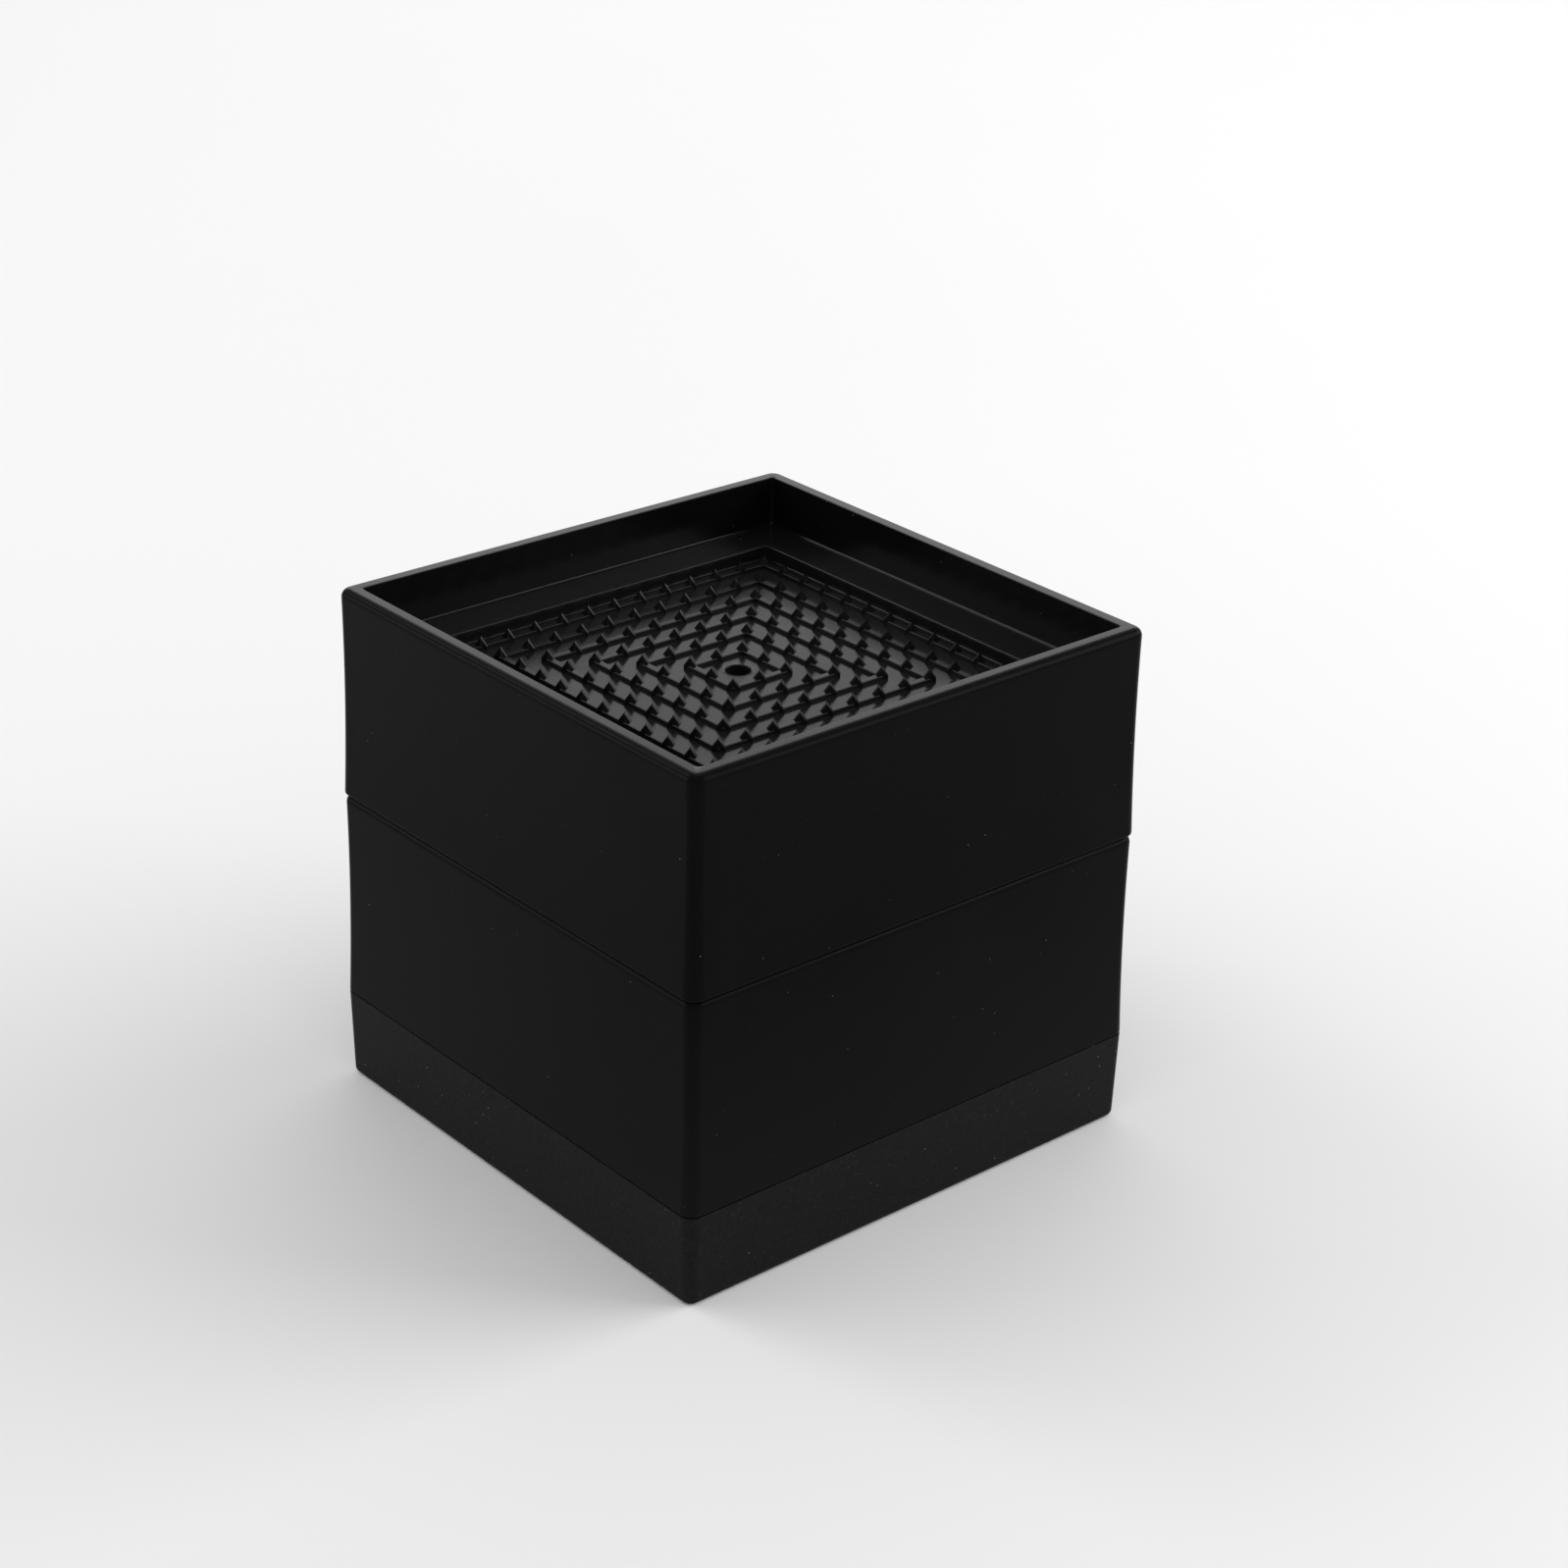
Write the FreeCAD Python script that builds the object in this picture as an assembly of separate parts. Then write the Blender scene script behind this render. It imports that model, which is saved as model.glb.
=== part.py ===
import FreeCAD, Part
import math
import os

from FreeCAD import Vector

# A stack of two square furniture risers on a non-slip foot.
# Millimetres, +Z up, origin on the floor under the middle of the foot.

# Riser: one moulding, used twice
rim_width = 127.0  # outside of the riser across its rim
riser_height = 50.0  # what one riser adds to the stack
side_flare = 0.3  # the lower edge stands out this far beyond the rim
side_hollow = 0.38  # the sides bow inward this much at mid height
corner_radius = 3.0  # upright outer corners
wall = 4.1  # side wall, measured across the rim
rim_edge_radius = 1.2  # outer edge of the rim
lower_chamfer = 0.4  # outer edge at the bottom

# Tray on top of a riser, where the furniture leg stands
tray_depth = 12.0
tray_corner_radius = 1.0
tray_fillet = 0.6  # between the tray's walls and its floor
plate = 3.0  # thickness under the grip field

# Grip field: sunk square of concentric ribs with a tooth at every crossing of the pitch
grip_pitch = 7.5
grip_rings = 6
field_depth = 3.2  # below the tray floor
field_edge_radius = 0.4  # edge between the tray floor and the field
field_fillet = 0.35  # foot of the field's walls
rib_width = 1.75
rib_height = 0.8
tooth_width = 2.0  # across the tooth, between its two narrow ends
tooth_depth = 2.4  # through the tooth, from edge to edge
tooth_ridge = 0.45  # length of its blunt top and width of its narrow ends
tooth_height = 1.65  # above the rib
hole_radius = 2.85  # through the middle of the field
hole_chamfer = 0.45

# Underside of a riser
web = 2.5  # crossed webs that carry the tray
tongue_length = 11.5  # the webs reach this far into the tray below
tongue_chamfer = 2.0  # lead-in at the ends of the tongues
fit_clearance = 0.6  # between a tongue's end and the tray wall
boss_radius = 6.0  # where the webs cross, round the hole; inside the smallest rib of the field below

# Foot
foot_height = 21.5
foot_taper = 0.8  # the foot narrows this much on each side, from top to bottom
foot_edge_radius = 1.6  # lower outer edge
foot_chamfer = 0.4  # upper outer edge

# Sizes that follow
rim_half = rim_width / 2
core_half = rim_half - corner_radius
bottom_half = rim_half + side_flare
side_pole = (rim_half + bottom_half) / 2 - 2 * side_hollow  # the side bows half the way to this pole
tray_half = rim_half - wall
tray_floor = riser_height - tray_depth
field_half = (grip_rings + 0.5) * grip_pitch
field_floor = tray_floor - field_depth
cavity_top = field_floor - plate
tongue_half = tray_half - fit_clearance
boss_length = tongue_length + field_depth
foot_socket_depth = tray_depth + field_depth
overshoot = 1.0  # cutters run past the surface that they open
sink = 0.3  # fused details start this far inside what carries them


def upright_box(half, low, high):
    """Sharp-edged square block, centred on the Z axis."""
    return Part.makeBox(2 * half, 2 * half, high - low, Vector(-half, -half, low))


def square_wire(half, radius, z):
    """Square outline with rounded corners, centred on the Z axis."""
    flat = half - radius
    bulge = flat + radius * math.sqrt(0.5)
    edges = []
    for turn in range(4):
        side = Part.LineSegment(Vector(half, -flat, z), Vector(half, flat, z))
        corner = Part.Arc(Vector(half, flat, z), Vector(bulge, bulge, z), Vector(flat, half, z))
        for curve in (side, corner):
            edge = curve.toShape()
            edge.rotate(Vector(0, 0, 0), Vector(0, 0, 1), 90 * turn)
            edges.append(edge)
    return Part.Wire(edges)


def square_block(half, radius, low, high):
    """Upright block with a rounded square plan."""
    return Part.Face(square_wire(half, radius, low)).extrude(Vector(0, 0, high - low))


def level_edges(shape, z, reach):
    """Edges that lie flat at height z, no further from the axis than reach in X and Y."""
    found = []
    for edge in shape.Edges:
        box = edge.BoundBox
        flat = abs(box.ZMin - z) < 1e-4 and abs(box.ZMax - z) < 1e-4
        near = max(-box.XMin, box.XMax, -box.YMin, box.YMax) < reach
        if flat and near:
            found.append(edge)
    return found


def socket(floor, top):
    """Space of a tray: upright walls and a rounded foot."""
    space = square_block(tray_half, tray_corner_radius, floor, top + overshoot)
    return space.makeFillet(tray_fillet, level_edges(space, floor, rim_half))


def round_square(outline):
    """Body with this edge profile all round: straight along the sides, turned about the corners of the core."""
    face = Part.Face(Part.Wire(outline))
    height = face.BoundBox.ZLength
    bar = face.extrude(Vector(0, 2 * core_half, 0))
    bar.translate(Vector(0, -core_half, 0))
    face.translate(Vector(0, core_half, 0))
    corner = face.revolve(Vector(core_half, core_half, 0), Vector(0, 0, 1), 90)
    pieces = []
    for turn in range(4):
        for piece in (bar, corner):
            copy = piece.copy()
            copy.rotate(Vector(0, 0, 0), Vector(0, 0, 1), 90 * turn)
            pieces.append(copy)
    core = upright_box(core_half, 0, height)
    return core.multiFuse(pieces).removeSplitter()


def riser_outline():
    """Edge profile of a riser, from its core outward: small chamfer, hollow side and rounded rim."""
    inset = rim_edge_radius * (1 - math.sqrt(0.5))
    rim_start = Vector(rim_half, 0, riser_height - rim_edge_radius)
    rim_middle = Vector(rim_half - inset, 0, riser_height - inset)
    rim_end = Vector(rim_half - rim_edge_radius, 0, riser_height)
    side_start = Vector(bottom_half, 0, lower_chamfer)
    side = Part.BezierCurve()
    side.setPoles([side_start, Vector(side_pole, 0, riser_height / 2), rim_start])
    under = Vector(bottom_half - lower_chamfer, 0, 0)
    core_low = Vector(core_half, 0, 0)
    core_high = Vector(core_half, 0, riser_height)
    curves = [
        Part.LineSegment(core_low, under),
        Part.LineSegment(under, side_start),
        side,
        Part.Arc(rim_start, rim_middle, rim_end),
        Part.LineSegment(rim_end, core_high),
        Part.LineSegment(core_high, core_low),
    ]
    return [curve.toShape() for curve in curves]


def riser_shell():
    """Outside of a riser with its tray, its grip field and the hollow underneath cut in."""
    shell = round_square(riser_outline())
    field = upright_box(field_half, field_floor, tray_floor + overshoot)
    field = field.makeFillet(field_fillet, level_edges(field, field_floor, rim_half))
    shell = shell.cut(socket(tray_floor, riser_height)).cut(field)
    lip = level_edges(shell, tray_floor, field_half + field_edge_radius)
    shell = shell.makeFillet(field_edge_radius, lip)
    return shell.cut(upright_box(tray_half, -overshoot, cavity_top))


def web_plate():
    """One web from wall to wall, with the tongue that drops into the tray below."""
    seat = tray_half + wall / 2
    tip = tongue_half - tongue_chamfer
    outline = [
        Vector(-seat, 0, cavity_top + sink),
        Vector(seat, 0, cavity_top + sink),
        Vector(seat, 0, 0),
        Vector(tongue_half, 0, 0),
        Vector(tongue_half, 0, tongue_chamfer - tongue_length),
        Vector(tip, 0, -tongue_length),
        Vector(-tip, 0, -tongue_length),
        Vector(-tongue_half, 0, tongue_chamfer - tongue_length),
        Vector(-tongue_half, 0, 0),
        Vector(-seat, 0, 0),
    ]
    face = Part.Face(Part.makePolygon(outline + outline[:1]))
    plate_solid = face.extrude(Vector(0, web, 0))
    plate_solid.translate(Vector(0, -web / 2, 0))
    return plate_solid


def underside():
    """Crossed webs, and the boss round the hole, which reaches down into the field below."""
    along = web_plate()
    across = web_plate()
    across.rotate(Vector(0, 0, 0), Vector(0, 0, 1), 90)
    boss_height = cavity_top + sink + boss_length
    boss = Part.makeCylinder(boss_radius, boss_height, Vector(0, 0, -boss_length))
    return [along, across, boss]


def grip_ring(number):
    """One square rib of the grip field."""
    middle = number * grip_pitch
    low = field_floor - sink
    high = field_floor + rib_height
    inside = upright_box(middle - rib_width / 2, low - overshoot, high + overshoot)
    return upright_box(middle + rib_width / 2, low, high).cut(inside)


def tooth():
    """One wedge-shaped tooth, set across the diagonal, on a rib through the axis."""
    root = field_floor + rib_height
    end = tooth_width / 2
    edge = tooth_depth / 2
    blunt = tooth_ridge / 2
    top = [Vector(0, side * blunt, root + tooth_height) for side in (-1, 1)]
    right = [Vector(end, side * blunt, root) for side in (-1, 1)]
    left = [Vector(-end, side * blunt, root) for side in (-1, 1)]
    front = Vector(0, -edge, root)
    back = Vector(0, edge, root)
    outlines = [
        [front, right[0], right[1], back, left[1], left[0]],
        [right[0], right[1], top[1], top[0]],
        [left[0], left[1], top[1], top[0]],
        [front, right[0], top[0]],
        [front, left[0], top[0]],
        [back, right[1], top[1]],
        [back, left[1], top[1]],
    ]
    faces = [Part.Face(Part.makePolygon(outline + outline[:1])) for outline in outlines]
    solid = Part.makeSolid(Part.makeShell(faces))
    solid.rotate(Vector(0, 0, 0), Vector(0, 0, 1), -45)
    return solid


def teeth():
    """A tooth at every crossing of the pitch but the middle one."""
    one = tooth()
    steps = range(-grip_rings, grip_rings + 1)
    solids = []
    for i in steps:
        for j in steps:
            if i == 0 and j == 0:
                continue
            copy = one.copy()
            copy.translate(Vector(i * grip_pitch, j * grip_pitch, 0))
            solids.append(copy)
    return solids


def riser():
    """One riser, standing on z = 0 with its tongues below."""
    body = riser_shell().multiFuse(underside())
    bore_length = field_floor + boss_length + 2 * overshoot
    bore = Part.makeCylinder(hole_radius, bore_length, Vector(0, 0, -boss_length - overshoot))
    body = body.cut(bore)
    body = body.makeChamfer(hole_chamfer, level_edges(body, field_floor, hole_radius + overshoot))
    rings = [grip_ring(number) for number in range(1, grip_rings + 1)]
    return body.multiFuse(rings + teeth())


def foot_outline():
    """Edge profile of the foot, from its core outward: rounded below, tapered side, small chamfer on top."""
    floor_half = bottom_half - foot_taper
    inset = foot_edge_radius * (1 - math.sqrt(0.5))
    under = Vector(floor_half - foot_edge_radius, 0, 0)
    round_middle = Vector(floor_half - inset, 0, inset)
    side_start = Vector(floor_half, 0, foot_edge_radius)
    side_end = Vector(bottom_half, 0, foot_height - foot_chamfer)
    top = Vector(bottom_half - foot_chamfer, 0, foot_height)
    core_low = Vector(core_half, 0, 0)
    core_high = Vector(core_half, 0, foot_height)
    curves = [
        Part.LineSegment(core_low, under),
        Part.Arc(under, round_middle, side_start),
        Part.LineSegment(side_start, side_end),
        Part.LineSegment(side_end, top),
        Part.LineSegment(top, core_high),
        Part.LineSegment(core_high, core_low),
    ]
    return [curve.toShape() for curve in curves]


def foot():
    """Foot with a socket as deep as a tray with its field."""
    return round_square(foot_outline()).cut(socket(foot_height - foot_socket_depth, foot_height))


def write(name, shape, z):
    """Puts one piece at its height in the stack and writes it."""
    piece = shape.copy()
    piece.translate(Vector(0, 0, z))
    solid = piece.Solids[0]
    solid.exportStep("parts/" + name + ".step")
    print(name, "solids", len(piece.Solids), "valid", solid.isValid(), "volume", round(solid.Volume))


os.makedirs("parts", exist_ok=True)
one_riser = riser()
write("base_foot", foot(), 0)
write("lower_riser", one_riser, foot_height)
write("upper_riser", one_riser, foot_height + riser_height)
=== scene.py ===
import math

import bmesh
import bpy
from mathutils import Matrix, Vector


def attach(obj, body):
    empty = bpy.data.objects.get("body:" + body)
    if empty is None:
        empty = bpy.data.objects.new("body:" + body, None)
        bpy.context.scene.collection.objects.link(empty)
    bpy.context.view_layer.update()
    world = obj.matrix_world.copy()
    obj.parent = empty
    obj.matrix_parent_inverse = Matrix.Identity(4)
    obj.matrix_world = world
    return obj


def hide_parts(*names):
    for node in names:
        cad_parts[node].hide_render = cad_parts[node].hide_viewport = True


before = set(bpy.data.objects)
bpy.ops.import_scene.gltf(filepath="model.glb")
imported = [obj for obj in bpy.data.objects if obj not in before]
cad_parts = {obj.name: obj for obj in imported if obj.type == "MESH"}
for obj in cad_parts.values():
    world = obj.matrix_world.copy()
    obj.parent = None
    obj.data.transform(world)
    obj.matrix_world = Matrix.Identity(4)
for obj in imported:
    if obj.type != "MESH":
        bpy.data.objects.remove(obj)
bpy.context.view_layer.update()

# Sizes in millimetres, most of them as in the part's source
MM = 0.001
rim_width = 127.0  # outside of a riser across its rim
riser_height = 50.0
side_flare = 0.3  # the lower edge stands out this far beyond the rim
side_hollow = 0.38  # the sides bow inward this much at mid height
corner_radius = 3.0  # upright outer corners
wall = 4.1
rim_edge_radius = 2.0  # fuller than in the part, as its highlights show
lower_edge = 0.7  # a larger rounding than the part's chamfer, so that the seams show
tray_depth = 12.0
tray_corner = 1.0
tray_fillet = 0.6
plate = 3.0  # thickness under the grip field
grip_pitch = 7.5
grip_rings = 6
field_depth = 3.2  # below the tray floor
field_corner = 0.5
field_lip = 0.4
field_fillet = 0.35
rib_width = 1.75
rib_height = 0.8
tooth_width = 3.0  # broader and taller than in the part, measured at and from the rib's top
tooth_depth = 2.0
tooth_ridge = 0.6
tooth_height = 2.1
hole_radius = 2.85
hole_bead = 0.25
web = 2.5
boss_radius = 6.0
tongue_length = 11.5
tongue_chamfer = 2.0
fit_clearance = 0.6  # between a tongue's end and the tray wall
foot_height = 21.5
foot_taper = 0.8
foot_edge = 1.6
foot_rim = 0.2

# Small forms that only show close up
rim_inner_edge = 0.2
rib_edge = 0.22
tooth_edge = 0.22  # chamfer
crisp = 0.3  # plan radius of corners that look sharp
let_in = 0.05  # a tooth starts this far inside what carries it
same_point = 0.001  # points nearer than this are one

# Sizes that follow
rim_half = rim_width / 2
bottom_half = rim_half + side_flare
core_half = rim_half - corner_radius
tray_half = rim_half - wall
tray_floor = riser_height - tray_depth
field_half = (grip_rings + 0.5) * grip_pitch
field_floor = tray_floor - field_depth
rib_top = field_floor + rib_height
cavity_top = field_floor - plate
tongue_half = tray_half - fit_clearance
boss_length = tongue_length + field_depth
foot_socket_depth = tray_depth + field_depth

# Straight steps along curves: a quarter turn in plan, a small rounding, the rim, the foot's edge and a side
plan_steps = 10
small_steps = 5
rim_steps = 12
foot_steps = 8
side_steps = 12
sharp_angle = math.radians(20)  # edges that turn more than this stay sharp

# Directions from the centre of a rounding, in degrees
OUT = 0
UP = 90
DOWN = 270

# The photograph: its frame, focal length and centre in pixels, and where it was taken from in metres
image_side = 1598
focal_px = 3488.4
centre_px = (846.2, 483.5)
camera_at = Vector((-0.4470, -0.5362, 0.4068))
camera_yaw = math.radians(-41.40)
camera_pitch = math.radians(19.98)
camera_roll = math.radians(-1.49)
sensor_mm = 36.0

# The studio, in metres
floor_half = 6.0
lamp_aim = Vector((0, 0, 0.12))
lamp_reach = 1.6
world_level = 0.65


def ring(half, radius, z):
    """Level rounded square, anticlockwise. With radius equal to half it is a circle."""
    flat = half - radius
    points = []
    for corner in range(4):
        middle = math.radians(45 + 90 * corner)
        centre = Vector((math.cos(middle), math.sin(middle))) * flat * math.sqrt(2)
        for step in range(plan_steps + 1):
            turn = math.radians(90 * (corner + step / plan_steps))
            points.append((centre.x + radius * math.cos(turn), centre.y + radius * math.sin(turn), z))
    return points


def quarter(half, z, radius, start, steps):
    """Half-widths and heights along a quarter turn about (half, z). Steps below 0 go clockwise."""
    way = 1 if steps > 0 else -1
    path = []
    for step in range(abs(steps) + 1):
        turn = math.radians(start + way * 90 * step / abs(steps))
        path.append((half + radius * math.cos(turn), z + radius * math.sin(turn)))
    return path


def skin(bm, rings, closed):
    """Faces between neighbouring rings. Closed joins the last to the first, or else the ends are capped."""
    rows = []
    for points in rings:
        rows.append([bm.verts.new(Vector(p) * MM) for p in points])
    pairs = list(zip(rows, rows[1:]))
    if closed:
        pairs.append((rows[-1], rows[0]))
    count = len(rows[0])
    for lower, upper in pairs:
        for i in range(count):
            j = (i + 1) % count
            bm.faces.new((lower[i], lower[j], upper[j], upper[i]))
    if not closed:
        bm.faces.new(list(reversed(rows[0])))
        bm.faces.new(rows[-1])
    bmesh.ops.remove_doubles(bm, verts=bm.verts, dist=same_point * MM)


def offset_rings(path, core):
    """Rings whose plan corners all turn about the corners of one core square."""
    return [ring(half, half - core, z) for half, z in path]


def outer_side():
    """Half-widths and heights of a riser's hollow side, from the lower edge to the rim's rounding."""
    pole = (rim_half + bottom_half) / 2 - 2 * side_hollow
    middle = riser_height / 2
    high = riser_height - rim_edge_radius
    path = []
    for step in range(side_steps + 1):
        t = step / side_steps
        low_share = (1 - t) ** 2
        pole_share = 2 * t * (1 - t)
        high_share = t ** 2
        half = low_share * bottom_half + pole_share * pole + high_share * rim_half
        path.append((half, low_share * lower_edge + pole_share * middle + high_share * high))
    return path


def socket(floor, top):
    """Rings of a tray, from its rim down to its floor, with a rounded edge and fillet."""
    path = quarter(tray_half + rim_inner_edge, top - rim_inner_edge, rim_inner_edge, UP, small_steps)
    path += quarter(tray_half - tray_fillet, floor + tray_fillet, tray_fillet, OUT, -small_steps)
    return offset_rings(path, tray_half - tray_corner)


def rib_path(number):
    """Half-widths and heights across one rib, going inward, with rounded edges."""
    outer = number * grip_pitch + rib_width / 2
    inner = number * grip_pitch - rib_width / 2
    path = [(outer, field_floor)]
    path += quarter(outer - rib_edge, rib_top - rib_edge, rib_edge, OUT, small_steps)
    path += quarter(inner + rib_edge, rib_top - rib_edge, rib_edge, UP, small_steps)
    path += [(inner, field_floor)]
    return path


def riser_rings():
    """All the rings of a riser: up the outside, into the tray, and back by the bore and the hollow."""
    rim_start = rim_half - rim_edge_radius
    rim_low = riser_height - rim_edge_radius
    outside = quarter(bottom_half - lower_edge, lower_edge, lower_edge, DOWN, small_steps)[:-1]
    outside += outer_side()
    outside += quarter(rim_start, rim_low, rim_edge_radius, OUT, rim_steps)[1:]
    rings = offset_rings(outside, core_half)
    rings += socket(tray_floor, riser_height)

    field = quarter(field_half + field_lip, tray_floor - field_lip, field_lip, UP, small_steps)
    field += quarter(field_half - field_fillet, field_floor + field_fillet, field_fillet, OUT, -small_steps)
    rings += offset_rings(field, field_half - field_corner)
    for number in range(grip_rings, 0, -1):
        rings += [ring(half, crisp, z) for half, z in rib_path(number)]

    lip = hole_radius + hole_bead
    bore = [(lip + 2 * hole_bead, field_floor)]
    bore += quarter(lip, field_floor - hole_bead / 2, hole_bead, UP, small_steps)
    bore += [(hole_radius, -boss_length), (boss_radius, -boss_length), (boss_radius, cavity_top)]
    rings += offset_rings(bore, 0)
    rings += [ring(tray_half, crisp, cavity_top), ring(tray_half, crisp, 0)]
    return rings


def web_plates(bm):
    """Four webs between the boss and the walls, each with its tongue, let into what carries it."""
    root = (hole_radius + boss_radius) / 2
    seat = (tray_half + rim_half) / 2
    top = (cavity_top + field_floor) / 2
    outline = [
        (root, top),
        (root, -tongue_length),
        (tongue_half - tongue_chamfer, -tongue_length),
        (tongue_half, tongue_chamfer - tongue_length),
        (tongue_half, lower_edge),
        (seat, lower_edge),
        (seat, top),
    ]
    for turn in range(4):
        place = Matrix.Rotation(math.radians(90 * turn), 3, "Z")
        sides = []
        for y in (-web / 2, web / 2):
            sides.append([bm.verts.new(place @ Vector((x, y, z)) * MM) for x, z in outline])
        near, far = sides
        bm.faces.new(near)
        bm.faces.new(list(reversed(far)))
        for i in range(len(outline)):
            j = (i + 1) % len(outline)
            bm.faces.new((near[j], near[i], far[i], far[j]))


def one_tooth():
    """Mesh of one wedge-shaped tooth on the axis, on a straight root let into the rib and the floor."""
    end = tooth_width / 2
    edge = tooth_depth / 2
    blunt = tooth_ridge / 2
    plan = [(0, -edge), (end, -blunt), (end, blunt), (0, edge), (-end, blunt), (-end, -blunt)]
    bm = bmesh.new()
    low = [bm.verts.new((x, y, field_floor - let_in)) for x, y in plan]
    high = [bm.verts.new((x, y, rib_top - let_in)) for x, y in plan]
    near, far = [bm.verts.new((0, y, rib_top + tooth_height)) for y in (-blunt, blunt)]
    bm.faces.new(list(reversed(low)))
    for i in range(len(plan)):
        j = (i + 1) % len(plan)
        bm.faces.new((low[i], low[j], high[j], high[i]))
    front, right_near, right_far, back, left_far, left_near = high
    bm.faces.new((right_near, right_far, far, near))
    bm.faces.new((left_far, left_near, near, far))
    bm.faces.new((front, right_near, near))
    bm.faces.new((left_near, front, near))
    bm.faces.new((right_far, back, far))
    bm.faces.new((back, left_far, far))
    slanting = []
    for corner in (right_near, right_far, left_near, left_far):
        slanting += [e for e in corner.link_edges if near in e.verts or far in e.verts]
    bmesh.ops.bevel(bm, geom=slanting, offset=tooth_edge, segments=1, affect="EDGES")
    turn = Matrix.Rotation(math.radians(-45), 4, "Z")
    bmesh.ops.transform(bm, matrix=Matrix.Scale(MM, 4) @ turn, verts=bm.verts)
    mesh = bpy.data.meshes.new("tooth")
    bm.to_mesh(mesh)
    bm.free()
    return mesh


def set_teeth(bm):
    """A tooth at every crossing of the pitch but the middle one."""
    mesh = one_tooth()
    span = range(-grip_rings, grip_rings + 1)
    for i in span:
        for j in span:
            if i == 0 and j == 0:
                continue
            start = len(bm.verts)
            bm.from_mesh(mesh)
            bm.verts.ensure_lookup_table()
            bmesh.ops.translate(bm, verts=bm.verts[start:], vec=Vector((i, j, 0)) * grip_pitch * MM)
    bpy.data.meshes.remove(mesh)


def new_object(name, bm):
    """Object in the scene from a finished bmesh."""
    bmesh.ops.recalc_face_normals(bm, faces=bm.faces)
    mesh = bpy.data.meshes.new(name)
    bm.to_mesh(mesh)
    bm.free()
    obj = bpy.data.objects.new(name, mesh)
    bpy.context.scene.collection.objects.link(obj)
    return obj


def united(body, added):
    """Mesh of two closed bodies made one. The second object is removed."""
    joint = body.modifiers.new("united", "BOOLEAN")
    joint.operation = "UNION"
    joint.solver = "EXACT"
    joint.object = added
    depsgraph = bpy.context.evaluated_depsgraph_get()
    mesh = bpy.data.meshes.new_from_object(body.evaluated_get(depsgraph))
    body.modifiers.remove(joint)
    bpy.data.objects.remove(added)
    return mesh


def riser_mesh():
    """One riser standing on z = 0."""
    bm = bmesh.new()
    skin(bm, riser_rings(), closed=True)
    shell = new_object("shell", bm)
    bm = bmesh.new()
    web_plates(bm)
    set_teeth(bm)
    details = new_object("details", bm)
    mesh = united(shell, details)
    bpy.data.objects.remove(shell)
    return mesh


def foot_mesh():
    """The foot, with the socket that takes the tongues of the riser above."""
    floor_side = bottom_half - foot_taper
    outside = quarter(floor_side - foot_edge, foot_edge, foot_edge, DOWN, foot_steps)
    outside += quarter(bottom_half - foot_rim, foot_height - foot_rim, foot_rim, OUT, small_steps)
    rings = offset_rings(outside, core_half)
    rings += socket(foot_height - foot_socket_depth, foot_height)
    bm = bmesh.new()
    skin(bm, rings, closed=False)
    obj = new_object("foot", bm)
    mesh = obj.data
    bpy.data.objects.remove(obj)
    return mesh


def place_piece(name, mesh, z, material, node):
    """One visible piece at its height in the stack, standing for its CAD node."""
    mesh.transform(Matrix.Translation((0, 0, z * MM)))
    mesh.name = name
    mesh.materials.clear()
    mesh.materials.append(material)
    mesh.shade_smooth()
    mesh.set_sharp_from_angle(angle=sharp_angle)
    obj = bpy.data.objects.new(name, mesh)
    bpy.context.scene.collection.objects.link(obj)
    even = obj.modifiers.new("even_normals", "WEIGHTED_NORMAL")
    even.keep_sharp = True
    even.weight = 80
    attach(obj, "root")
    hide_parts(node)


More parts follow.
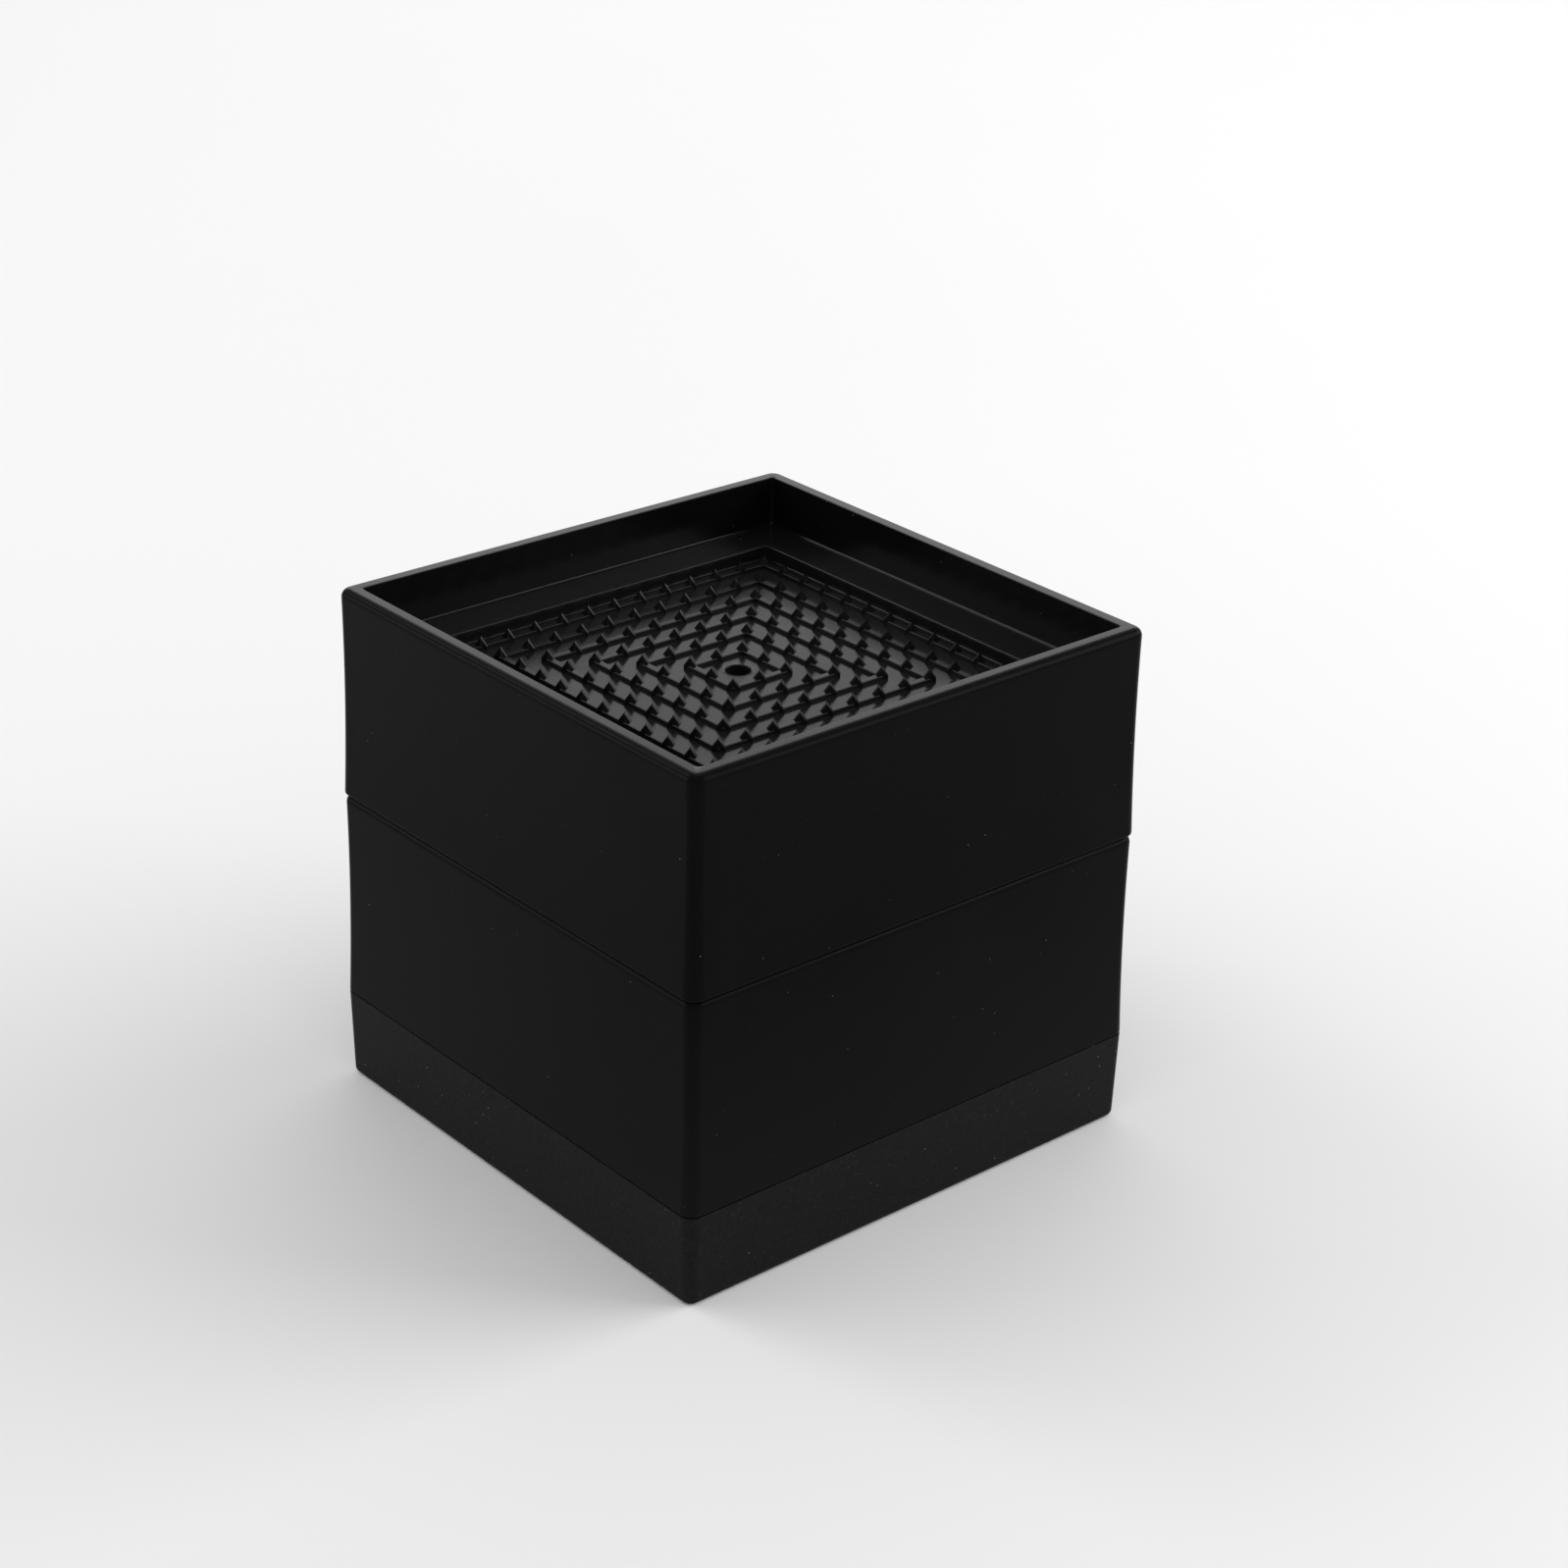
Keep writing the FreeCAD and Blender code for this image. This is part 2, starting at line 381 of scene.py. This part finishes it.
class Nodes:
    """Short way to add and wire the nodes of one material."""

    def __init__(self, name):
        self.material = bpy.data.materials.new(name)
        self.material.use_nodes = True
        self.tree = self.material.node_tree
        self.shader = self.tree.nodes["Principled BSDF"]
        place = self.tree.nodes.new("ShaderNodeNewGeometry")
        self.position = place.outputs["Position"]

    def link(self, source, target):
        self.tree.links.new(source, target)

    def stretched(self, scale):
        """Position with each axis multiplied, for streaks."""
        node = self.tree.nodes.new("ShaderNodeVectorMath")
        node.operation = "MULTIPLY"
        node.inputs[1].default_value = scale
        self.link(self.position, node.inputs[0])
        return node.outputs["Vector"]

    def along(self, axis):
        """Position along X, Y or Z."""
        split = self.tree.nodes.new("ShaderNodeSeparateXYZ")
        self.link(self.position, split.inputs["Vector"])
        return split.outputs[axis]

    def half_width(self):
        """Half the side of the upright square, about the axis, that passes through the shaded point."""
        x = self.math("ABSOLUTE", self.along("X"))
        y = self.math("ABSOLUTE", self.along("Y"))
        return self.math("MAXIMUM", x, y)

    def noise(self, scale, detail, rough, vector=None):
        """Noise with so many waves a metre, unless another vector is given."""
        node = self.tree.nodes.new("ShaderNodeTexNoise")
        node.inputs["Scale"].default_value = scale
        node.inputs["Detail"].default_value = detail
        node.inputs["Roughness"].default_value = rough
        self.link(vector or self.position, node.inputs["Vector"])
        return node.outputs["Fac"]

    def cells(self, scale):
        """Distance from the nearest of scattered points, and that point's random colour."""
        node = self.tree.nodes.new("ShaderNodeTexVoronoi")
        node.inputs["Scale"].default_value = scale
        self.link(self.position, node.inputs["Vector"])
        return node.outputs["Distance"], node.outputs["Color"]

    def spread(self, value, low, high, to_low=0.0, to_high=1.0):
        """Maps low..high to to_low..to_high, clamped."""
        node = self.tree.nodes.new("ShaderNodeMapRange")
        node.inputs["From Min"].default_value = low
        node.inputs["From Max"].default_value = high
        node.inputs["To Min"].default_value = to_low
        node.inputs["To Max"].default_value = to_high
        self.link(value, node.inputs["Value"])
        return node.outputs["Result"]

    def spread_mm(self, value, low, high, to_low=0.0, to_high=1.0):
        """As spread, for a position, with low and high in millimetres."""
        return self.spread(value, low * MM, high * MM, to_low, to_high)

    def by_mask(self, mask, bare, covered):
        """Number that goes from bare to covered as a mask goes from 0 to 1."""
        return self.spread(mask, 0.0, 1.0, bare, covered)

    def math(self, operation, *values):
        """Math node on the outputs given."""
        node = self.tree.nodes.new("ShaderNodeMath")
        node.operation = operation
        for socket_in, value in zip(node.inputs, values):
            self.link(value, socket_in)
        return node.outputs["Value"]

    def mix(self, factor, a, b):
        """Colour between a and b, each a colour or an output."""
        node = self.tree.nodes.new("ShaderNodeMix")
        node.data_type = "RGBA"
        self.link(factor, node.inputs["Factor"])
        for socket_in, value in ((node.inputs["A"], a), (node.inputs["B"], b)):
            if isinstance(value, tuple):
                socket_in.default_value = (*value, 1.0)
            else:
                self.link(value, socket_in)
        return node.outputs["Result"]

    def bump(self, height, strength, distance):
        """Fine relief on the shader's normal, distance in metres."""
        node = self.tree.nodes.new("ShaderNodeBump")
        node.inputs["Strength"].default_value = strength
        node.inputs["Distance"].default_value = distance
        self.link(height, node.inputs["Height"])
        self.link(node.outputs["Normal"], self.shader.inputs["Normal"])


def grey(level):
    """Neutral colour."""
    return (level, level, level)


def specks(nodes, cell, size, share):
    """Mask of dust grains in drifts: cell and size in millimetres, share of the cells that hold one."""
    opaque = 0.6  # share of a grain's radius
    choice = 0.02  # width of the step between bare cells and those with a grain
    faintest = 0.2
    between_drifts = 0.15
    distance, colour = nodes.cells(1 / (cell * MM))
    near = nodes.spread(distance, size / cell, opaque * size / cell)
    split = nodes.tree.nodes.new("ShaderNodeSeparateColor")
    nodes.link(colour, split.inputs["Color"])
    present = nodes.spread(split.outputs["Red"], 1 - share, 1 - share + choice)
    level = nodes.by_mask(split.outputs["Green"], faintest, 1.0)
    drift = nodes.spread(nodes.noise(scale=45, detail=2.0, rough=0.5), 0.45, 0.6, between_drifts, 1.0)
    grains = nodes.math("MULTIPLY", near, present)
    return nodes.math("MULTIPLY", grains, nodes.math("MULTIPLY", level, drift))


def riser_plastic():
    """Black moulded plastic, glossy in the tray and matt on the outer walls, with smears and dust, and
    painted light that makes the tray's inside and the lower outer walls lighter.
    """
    black = grey(0.0034)
    smeared = grey(0.0046)
    # painted light: a lighter grey put on the inside of the tray and on the lower outer walls
    painted_light_grey = grey(0.0075)
    dust_colour = (0.34, 0.34, 0.33)
    tray_gloss = 0.14
    rim_gloss = 0.2
    wall_gloss = 0.03
    tray_rough = 0.17
    wall_rough = 0.28
    gloss_fade = 1.1  # width of the change from gloss to matt, on the rim's rounding
    matt_to = rim_half - gloss_fade
    matt_from = matt_to - gloss_fade
    painted_light_from = 20.0  # height at which the painted light on the lower outer walls, which offsets the shade near the floor, starts to fade
    painted_light_to = 65.0
    nodes = Nodes("riser_plastic")
    shader = nodes.shader
    half_width = nodes.half_width()
    outside = nodes.spread_mm(half_width, matt_from, matt_to)
    blotch = nodes.spread(nodes.noise(scale=28, detail=4.0, rough=0.6), 0.38, 0.68)
    streaks = nodes.noise(scale=1.0, detail=3.0, rough=0.6, vector=nodes.stretched((150, 150, 16)))
    smear = nodes.math("MULTIPLY", blotch, nodes.spread(streaks, 0.45, 0.75, 0.5, 1.1))

    colour = nodes.mix(smear, black, smeared)
    # painted light: the outer walls get lighter towards the bottom, to offset the shade near the floor
    lower_wall_painted_light = nodes.spread_mm(nodes.along("Z"), painted_light_from, painted_light_to, 1.0, 0.0)
    colour = nodes.mix(nodes.math("MULTIPLY", outside, lower_wall_painted_light), colour, painted_light_grey)
    # painted light: the tray's floor, grip field and teeth, not its walls, are lighter than the same
    # plastic outside
    tray_painted_light = nodes.spread_mm(half_width, tray_half - tray_fillet, tray_half - rim_inner_edge, 1.0, 0.0)
    colour = nodes.mix(tray_painted_light, colour, painted_light_grey)
    colour = nodes.mix(specks(nodes, cell=3.4, size=0.15, share=0.7), colour, dust_colour)
    nodes.link(colour, shader.inputs["Base Color"])

    scuffs = nodes.spread(nodes.noise(scale=190, detail=5.0, rough=0.65), 0.4, 0.8, 0.0, 0.05)
    haze = nodes.math("ADD", nodes.by_mask(smear, 0.0, 0.06), scuffs)
    rough = nodes.math("ADD", nodes.by_mask(outside, tray_rough, wall_rough), haze)
    nodes.link(rough, shader.inputs["Roughness"])

    inner_from = tray_half - 2 * rim_inner_edge
    inner_to = tray_half + rim_inner_edge
    inner_gloss = nodes.spread_mm(half_width, inner_from, inner_to, tray_gloss, rim_gloss)
    fading = nodes.by_mask(outside, 1.0, wall_gloss / rim_gloss)
    nodes.link(nodes.math("MULTIPLY", inner_gloss, fading), shader.inputs["Specular IOR Level"])
    nodes.bump(nodes.noise(scale=2600, detail=2.0, rough=0.6), strength=0.05, distance=0.0002)
    shader.inputs["IOR"].default_value = 1.46
    return nodes.material


def foot_rubber():
    """Matt grey-black rubber, finely grained, with more dust than the plastic."""
    black = grey(0.0066)
    worn = grey(0.0098)
    film_colour = (0.030, 0.030, 0.029)
    dust_colour = (0.30, 0.30, 0.29)
    nodes = Nodes("foot_rubber")
    shader = nodes.shader
    blotch = nodes.spread(nodes.noise(scale=40, detail=5.0, rough=0.65), 0.35, 0.7)
    colour = nodes.mix(blotch, black, worn)
    film = nodes.spread(nodes.noise(scale=900, detail=3.0, rough=0.7), 0.52, 0.78, 0.0, 0.4)
    colour = nodes.mix(film, colour, film_colour)
    colour = nodes.mix(specks(nodes, cell=2.6, size=0.17, share=0.8), colour, dust_colour)
    nodes.link(colour, shader.inputs["Base Color"])
    nodes.link(nodes.by_mask(blotch, 0.52, 0.64), shader.inputs["Roughness"])
    nodes.bump(nodes.noise(scale=1800, detail=3.0, rough=0.65), strength=0.18, distance=0.0003)
    shader.inputs["IOR"].default_value = 1.46
    shader.inputs["Specular IOR Level"].default_value = 0.08
    return nodes.material


def pale_floor():
    """Plain white studio floor."""
    nodes = Nodes("pale_floor")
    shader = nodes.shader
    shade = nodes.by_mask(nodes.noise(scale=3.0, detail=2.0, rough=0.5), 0.0, 1.0)
    nodes.link(nodes.mix(shade, grey(0.90), grey(0.92)), shader.inputs["Base Color"])
    shader.inputs["Roughness"].default_value = 0.8
    shader.inputs["Specular IOR Level"].default_value = 0.1
    bm = bmesh.new()
    bmesh.ops.create_grid(bm, x_segments=2, y_segments=2, size=floor_half)
    floor = new_object("floor", bm)
    floor.data.materials.append(nodes.material)


def studio_world():
    """Even soft white light from all round."""
    world = bpy.data.worlds.new("studio")
    world.use_nodes = True
    back = world.node_tree.nodes["Background"]
    back.inputs["Color"].default_value = (1.0, 1.0, 1.0, 1.0)
    back.inputs["Strength"].default_value = world_level
    bpy.context.scene.world = world


def soft_box(name, azimuth, elevation, size, radiance):
    """Rectangular soft box facing the object. Azimuth from +X and elevation in degrees, size in metres."""
    turn = math.radians(azimuth)
    rise = math.radians(elevation)
    way = Vector((math.cos(turn) * math.cos(rise), math.sin(turn) * math.cos(rise), math.sin(rise)))
    data = bpy.data.lights.new(name, "AREA")
    data.shape = "RECTANGLE"
    data.size, data.size_y = size
    data.energy = radiance * math.pi * size[0] * size[1]
    lamp = bpy.data.objects.new(name, data)
    lamp.location = lamp_aim + lamp_reach * way
    lamp.rotation_euler = (-way).to_track_quat("-Z", "Y").to_euler()
    bpy.context.scene.collection.objects.link(lamp)


def photo_camera():
    """Camera where the photograph was taken, with its focal length and off-centre frame."""
    level_right = Vector((math.cos(camera_yaw), math.sin(camera_yaw), 0))
    ahead = Vector((-math.sin(camera_yaw), math.cos(camera_yaw), 0)) * math.cos(camera_pitch)
    ahead.z = -math.sin(camera_pitch)
    level_down = ahead.cross(level_right)
    right = math.cos(camera_roll) * level_right + math.sin(camera_roll) * level_down
    down = math.cos(camera_roll) * level_down - math.sin(camera_roll) * level_right
    turn = Matrix((right, -down, -ahead)).transposed()
    data = bpy.data.cameras.new("camera")
    data.sensor_width = sensor_mm
    data.lens = sensor_mm * focal_px / image_side
    data.shift_x = 0.5 - centre_px[0] / image_side
    data.shift_y = centre_px[1] / image_side - 0.5
    data.clip_start = 0.01
    camera = bpy.data.objects.new("camera", data)
    camera.matrix_world = Matrix.Translation(camera_at) @ turn.to_4x4()
    bpy.context.scene.collection.objects.link(camera)
    bpy.context.scene.camera = camera


plastic = riser_plastic()
rubber = foot_rubber()
upper = riser_mesh()
lower = upper.copy()
place_piece("stack_foot", foot_mesh(), 0, rubber, "base_foot")
place_piece("stack_lower", lower, foot_height, plastic, "lower_riser")
place_piece("stack_upper", upper, foot_height + riser_height, plastic, "upper_riser")

pale_floor()
studio_world()
soft_box("back_box", azimuth=48, elevation=17, size=(1.5, 0.6), radiance=0.9)
soft_box("right_box", azimuth=-30, elevation=26, size=(1.4, 0.6), radiance=5.0)
soft_box("left_box", azimuth=114, elevation=40, size=(0.5, 0.4), radiance=5.0)
soft_box("low_left_box", azimuth=137, elevation=14, size=(0.8, 0.4), radiance=4.0)
photo_camera()
bpy.context.scene.view_settings.view_transform = "Standard"
